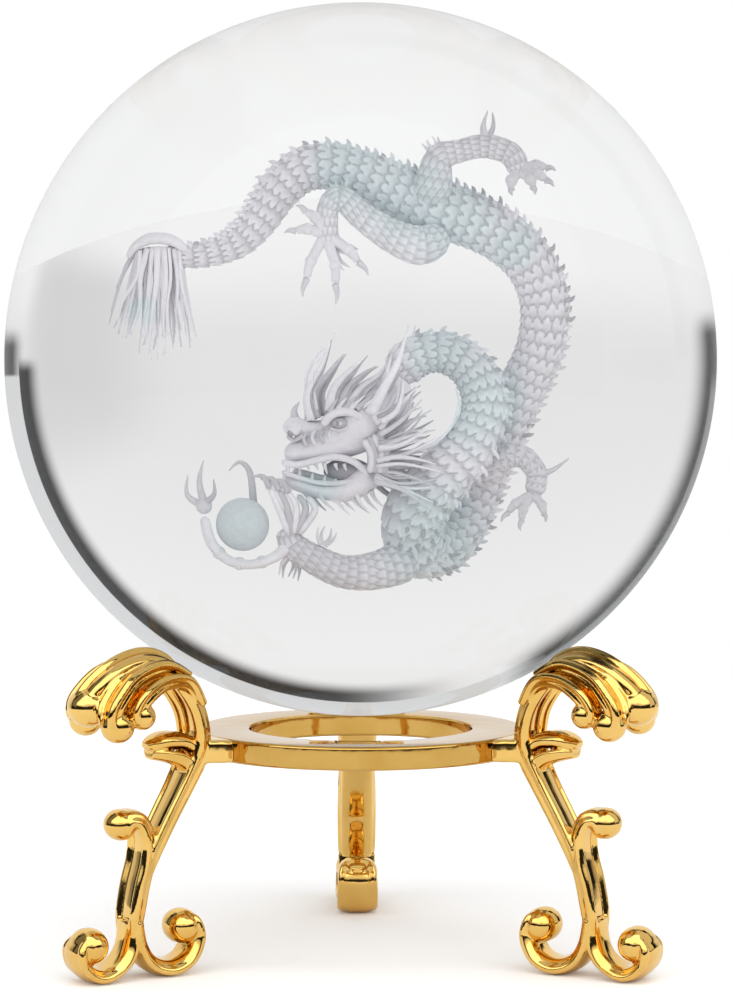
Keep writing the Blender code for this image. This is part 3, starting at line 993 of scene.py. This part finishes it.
    # crest flames, each with a thin dark strip of painted shade along its front as in a furrow, and
    # horns
    crest = (
        ([(-5.4, -6.6), (-5.9, -3.8), (-4.4, -0.6), (-3.6, 2.4)], -0.6, 1.7, 1.0),
        ([(-4.6, -6.2), (-4.8, -3.6), (-3.2, -1.0), (-2.0, 0.8)], 1.0, 1.9, 0.7),
        ([(-3.2, -5.6), (-2.8, -3.2), (-0.8, -0.8), (0.4, 0.6)], -1.8, 2.1, 1.0),
        ([(-2.4, -5.2), (-1.4, -3.0), (0.4, -1.4), (1.6, -0.6)], -2.4, 1.3, 0.45),
        ([(-1.4, -5.2), (0.0, -3.2), (1.8, -1.8), (2.6, -0.4)], -2.2, 1.8, 0.9),
        ([(0.2, -5.4), (2.2, -3.8), (3.4, -2.4), (4.2, -1.0)], -2.6, 1.4, 0.5),
    )
    for curve, depth, width, tone in crest:
        points = [(x, y + depth, z) for x, z in curve]
        cone(shape, points, width, tone, sides=12)
        # painted shade: a thin dark cone along each flame's front
        groove_shade = [(x + 0.25, y + depth - width * 0.42, z) for x, z in curve]
        cone(shape, groove_shade, width * 0.22, 0.2, tip=0.08)
    for depth, shift in ((-3.0, 0.0), (2.8, 0.9)):
        horn = [(0.9, -6.0), (2.4, -3.2), (4.0, -0.2), (5.2, 4.0)]
        cone(shape, [(x + shift, y + depth, z) for x, z in horn], 1.5, 1.0, sides=14)
        prong = [(2.8, -2.6), (2.9, -0.8), (3.4, 0.8)]
        cone(shape, [(x + shift, y + depth, z) for x, z in prong], 0.8, 0.8)
    # ears, mane and beard
    for hand in (-1, 1):
        side = y + hand * 2.9
        ear = [(1.4, 0.0, -6.6), (3.0, 0.4, -5.8), (4.8, 0.3, -3.9)]
        cone(shape, [(x, side + hand * out, z) for x, out, z in ear], 1.7, 0.9, sides=12)
        # painted shade: a dark strip along each ear's inside
        ear_shade = [(1.8, 0.6, -6.3), (3.0, 0.9, -5.6), (4.3, 0.6, -4.2)]
        cone(shape, [(x, side + hand * out, z) for x, out, z in ear_shade], 0.7, 0.2)
        for i in range(MANE_HAIRS):
            share = i / (MANE_HAIRS - 1)
            angle = math.radians(62 - 84 * share + dice.uniform(-5, 5))
            depth = side + dice.uniform(-0.8, 0.5)
            start = np.array([2.2 - 0.8 * share, depth, -6.2 - 7.4 * share])
            reach = dice.uniform(4.6, 6.4) + 1.3 * share
            way = np.array([math.cos(angle), 0.0, math.sin(angle)])
            curl = np.array([-way[2], 0.0, way[0]]) * dice.uniform(-0.7, 0.5)
            points = [
                start,
                start + way * reach * 0.35 + curl,
                start + way * reach * 0.7 + curl * 0.3,
                start + way * reach - curl,
            ]
            cone(shape, points, dice.uniform(0.45, 0.95), dice.choice((0.15, 0.35, 0.7, 0.95, 1.0)))
    for i in range(10):
        depth = y - 0.6 + dice.uniform(-1.2, 1.2)
        start = np.array([-6.6 + 0.85 * i, depth, -14.5 - 0.35 * math.sin(i * 0.33)])
        end = start + np.array([1.4 + dice.uniform(0, 0.8), 0.0, -1.6 - dice.uniform(0, 0.9)])
        middle = (start + end) / 2 + np.array([-0.3, 0, 0])
        cone(shape, [start, middle, end], 0.6, dice.choice((0.4, 0.8, 1.0)))
    whiskers = (
        [(-5.0, y - 1, -5.6), (-5.5, y - 1, -1.0), (-3.2, y - 0.5, 2.4), (-2.9, y, 5.8)],
        [(-6.2, y + 1, -6.8), (-6.2, y + 1, -2.0), (-4.8, y + 1, 1.0), (-3.6, y + 1, 1.6)],
        [(6.6, y + 0.4, -11.0), (9.0, y + 0.4, -8.8), (11.0, y + 0.4, -6.0), (10.6, y + 0.6, -3.0)],
        [(6.0, y - 0.8, -10.2), (8.2, y - 0.8, -9.2), (10.2, y - 0.6, -7.2), (10.9, y - 0.4, -4.4)],
    )
    for points in whiskers:
        cone(shape, points, 0.42, 1.0, steps=8)


def engraving_material():
    """Frosted points in clear glass: pale, cooler where they are dense, and darker where the tone
    attribute carries painted shade of hollows.
    """
    finish = {"Roughness": 0.9, "Specular IOR Level": 0.1}
    material, tree, shader, _ = shader_nodes("engraving_look", finish)
    cool = add_node(tree, "ShaderNodeAttribute", attribute_name="cool")
    tint = mixed(tree, cool.outputs["Fac"], (0.97, 0.955, 1.0), (0.82, 0.91, 0.94))
    tone = add_node(tree, "ShaderNodeAttribute", attribute_name="tone")
    points = object_noise(tree, 2600.0, 3.0)
    speckle = ranged(tree, points.outputs["Fac"], 0.92, 1.04, 0.35, 0.65)
    share = ranged(tree, product(tree, tone.outputs["Fac"], speckle), 0.33, 1.0)
    # low tone blends towards near-black: the pieces' own tones together with the painted shade they
    # carry
    colour = mixed(tree, share, (0.07, 0.07, 0.09), tint)
    tree.links.new(colour, shader.inputs["Base Color"])
    return material


# Where the points are densest and look blue-green: x, z and reach
COOL_SPOTS = [
    (-1.0, 21.5, 5.0),
    (5.0, 18.5, 5.5),
    (10.5, 15.5, 5.5),
    (17.0, 13.0, 3.0),
    (8.0, -19.5, 6.5),
    (12.5, -4.5, 6.0),
    (9.0, 1.0, 4.0),
    (-13.5, -18.5, 4.0),
    (-24.8, 5.5, 1.8),
    (-5.0, -14.0, 2.5),
]


# Where the points are sparser and look darker: x, z, reach and share of tone lost
DIM_SPOTS = [
    (-1.5, -9.5, 8.5, 0.27),
    (-4.0, -22.0, 5.0, 0.2),
    (10.0, 0.5, 4.5, 0.15),
]


def spot(places, x, z, reach):
    """1 at a spot's middle, falling to 0 past its reach."""
    off = np.hypot(places[:, 0] - x, places[:, 2] - z) / reach
    return np.exp(-(off**4))


def make_engraving():
    shape = Shape()
    dice = random.Random(ENGRAVING_SEED)
    dragon_body(shape)
    tail_tassel(shape, dice)
    hind_legs(shape, dice)
    fore_legs(shape, dice)
    dragon_head(shape, dice)
    drawn = np.vstack(shape.points)
    cool = np.zeros(len(drawn))
    for x, z, reach in COOL_SPOTS:
        cool = np.maximum(cool, spot(drawn, x, z, reach))
    tones = np.concatenate(shape.tones)
    for x, z, reach, loss in DIM_SPOTS:
        tones = tones * (1 - loss * spot(drawn, x, z, reach))
    shape.points = [through_glass(drawn) + np.array(BALL_CENTRE) / MM]
    mesh = shape.mesh("engraving")
    for name, values in (("tone", tones), ("cool", cool)):
        mesh.attributes.new(name, "FLOAT", "POINT").data.foreach_set("value", values)
    mesh.shade_smooth()
    engraving = new_object("engraved_dragon", mesh, engraving_material())
    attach(engraving, "ball")


# Studio


def make_floor():
    shape = Shape()
    rim = superellipse(96, 2.0) * FLOOR_RADIUS / MM
    shape.add([(x, y, 0) for x, y in rim], [tuple(range(len(rim)))])
    finish = {"Base Color": (0.93, 0.93, 0.93, 1.0), "Roughness": 0.9, "Emission Color": WHITE}
    material, tree, shader, _ = shader_nodes("pale_floor", finish)
    path = add_node(tree, "ShaderNodeLightPath")
    glow = ranged(tree, path.outputs["Is Camera Ray"], 0.0, FLOOR_GLOW)
    tree.links.new(glow, shader.inputs["Emission Strength"])
    floor = new_object("floor", shape.mesh("floor"), material)
    floor.location.z = -FLOOR_DROP


def sky_window(tree, source, gate):
    """1 between the gate's two inner degrees, falling smoothly to 0 at its outer ones."""
    parts = []
    for closed, opened in ((gate[0], gate[1]), (gate[3], gate[2])):
        limits = {"From Min": closed, "From Max": opened}
        step = add_node(tree, "ShaderNodeMapRange", limits, interpolation_type="SMOOTHSTEP")
        tree.links.new(source, step.inputs["Value"])
        parts.append(step.outputs["Result"])
    return product(tree, *parts)


def sky_angles(tree):
    """A direction's angle off the +Y axis, its turn about that axis and its elevation."""
    place = add_node(tree, "ShaderNodeTexCoord")
    parts = add_node(tree, "ShaderNodeSeparateXYZ")
    tree.links.new(place.outputs["Generated"], parts.inputs["Vector"])
    angles = {}
    mirrored = add_node(tree, "ShaderNodeMath", {1: -1.0}, operation="MULTIPLY")
    tree.links.new(parts.outputs["X"], mirrored.inputs[0])
    x, y, z, left = *parts.outputs, mirrored.outputs["Value"]
    for name, operation, sources in (
        ("off_axis", "ARCCOSINE", (y,)),
        ("turn_right", "ARCTAN2", (z, x)),
        ("turn_left", "ARCTAN2", (z, left)),
        ("elevation", "ARCSINE", (z,)),
    ):
        angle = add_node(tree, "ShaderNodeMath", operation=operation)
        for socket, source in zip(angle.inputs, sources):
            tree.links.new(source, socket)
        degrees = add_node(tree, "ShaderNodeMath", {1: math.degrees(1)}, operation="MULTIPLY")
        tree.links.new(angle.outputs["Value"], degrees.inputs[0])
        angles[name] = degrees.outputs["Value"]
    return angles


def make_world():
    """A white tent with black gaps between its panels, as a glass ball is photographed in."""
    world = bpy.data.worlds.new("studio")
    bpy.context.scene.world = world
    world.use_nodes = True
    tree = world.node_tree
    background = tree.nodes["Background"]
    angles = sky_angles(tree)
    base = add_node(tree, "ShaderNodeRGB")
    base.outputs["Color"].default_value = (*SKY_TONE, 1.0)
    seen = base.outputs["Color"]
    for colour, gates in SKY_PANELS:
        mask = None
        for name, gate in gates.items():
            window = sky_window(tree, angles[name], gate)
            mask = window if mask is None else product(tree, mask, window)
        seen = mixed(tree, mask, seen, colour)
    path = add_node(tree, "ShaderNodeLightPath")
    # Through glass, the bright panel and the dark gap in front of the ball aren't seen
    front = product(
        tree, sky_window(tree, angles["off_axis"], FRONT_GATE), path.outputs["Is Transmission Ray"]
    )
    seen = mixed(tree, front, seen, FRONT_TONE)
    seen = mixed(tree, path.outputs["Is Camera Ray"], seen, WHITE[:3])
    tree.links.new(seen, background.inputs["Color"])


SKY_TONE = (0.93, 0.93, 0.935)

# Panels of the tent: colour, then gates in degrees (closed, open, open, closed).
# turn_right is 0 to the right and 90 overhead, turn_left 0 to the left and 90 overhead.
SKY_PANELS = [
    ((1.03, 1.03, 1.03), {"elevation": (2, 40, 95, 100)}),
    ((1.05, 1.05, 1.05), {"elevation": (-100, -95, -12, -1)}),
    ((0.80, 0.80, 0.80), {"off_axis": (16, 34, 50, 62), "turn_right": (-26, -14, 8, 26)}),
    ((2.8, 2.8, 2.8), {"elevation": (64, 68, 95, 100)}),
    ((2.0, 2.0, 2.0), {"off_axis": (94, 100, 150, 158), "elevation": (16, 22, 64, 70)}),
    ((0.02, 0.02, 0.02), {"off_axis": (98, 100, 181, 182), "elevation": (-10, -8, 8, 14)}),
    ((0.01, 0.01, 0.012), {"off_axis": (49, 57, 62, 63), "turn_right": (-1, 2, 84, 110)}),
    ((0.005, 0.005, 0.006), {"off_axis": (57, 70, 96, 98), "turn_right": (-6, -2, 2.2, 3)}),
    ((0.80, 0.81, 0.82), {"off_axis": (62, 63, 96, 100), "turn_right": (2, 3, 110, 125)}),
    ((0.005, 0.005, 0.006), {"off_axis": (51, 68, 98, 100), "turn_left": (-9, -4, 57, 68)}),
    ((0.22, 0.23, 0.235), {"off_axis": (70, 71.5, 98, 100), "turn_left": (1, 6, 57, 68)}),
]


def make_camera():
    camera = bpy.data.objects.new("camera", bpy.data.cameras.new("camera"))
    bpy.context.scene.collection.objects.link(camera)
    camera.data.sensor_width = 36.0
    camera.data.lens = CAMERA_LENS_MM
    camera.data.clip_start = 0.01
    camera.location = (
        CAMERA_DISTANCE * math.sin(CAMERA_AZIMUTH),
        -CAMERA_DISTANCE * math.cos(CAMERA_AZIMUTH),
        BALL_CENTRE.z,
    )
    heading = CAMERA_PAN - CAMERA_AZIMUTH
    level = math.cos(CAMERA_TILT)
    forward = Vector(
        (math.sin(heading) * level, math.cos(heading) * level, math.sin(CAMERA_TILT))
    )
    camera.rotation_euler = forward.to_track_quat("-Z", "Y").to_euler()
    bpy.context.scene.camera = camera


def carried_over_pins():
    """The blind pins stay as imported, with a plain ground-steel look."""
    finish = {"Base Color": (0.6, 0.6, 0.62, 1.0), "Metallic": 1.0}
    material, tree, shader, _ = shader_nodes("ground_steel_look", finish)
    grind = object_noise(tree, 2500.0, 3.0)
    tree.links.new(ranged(tree, grind.outputs["Fac"], 0.25, 0.45), shader.inputs["Roughness"])
    for side in LEG_AZIMUTHS:
        pin = bpy.data.objects[side + "_leg_pin"]
        pin.data.materials.clear()
        pin.data.materials.append(material)


def main():
    bpy.context.scene.view_settings.view_transform = "Standard"
    make_camera()
    make_world()
    make_floor()
    make_legs(gold_material("cast_gold_look", (0.74, 0.44, 0.10), (0.86, 0.56, 0.17)))
    make_ring(gold_material("turned_gold_look", (0.50, 0.285, 0.055), (0.61, 0.37, 0.10)))
    make_ball()
    make_engraving()
    carried_over_pins()


main()
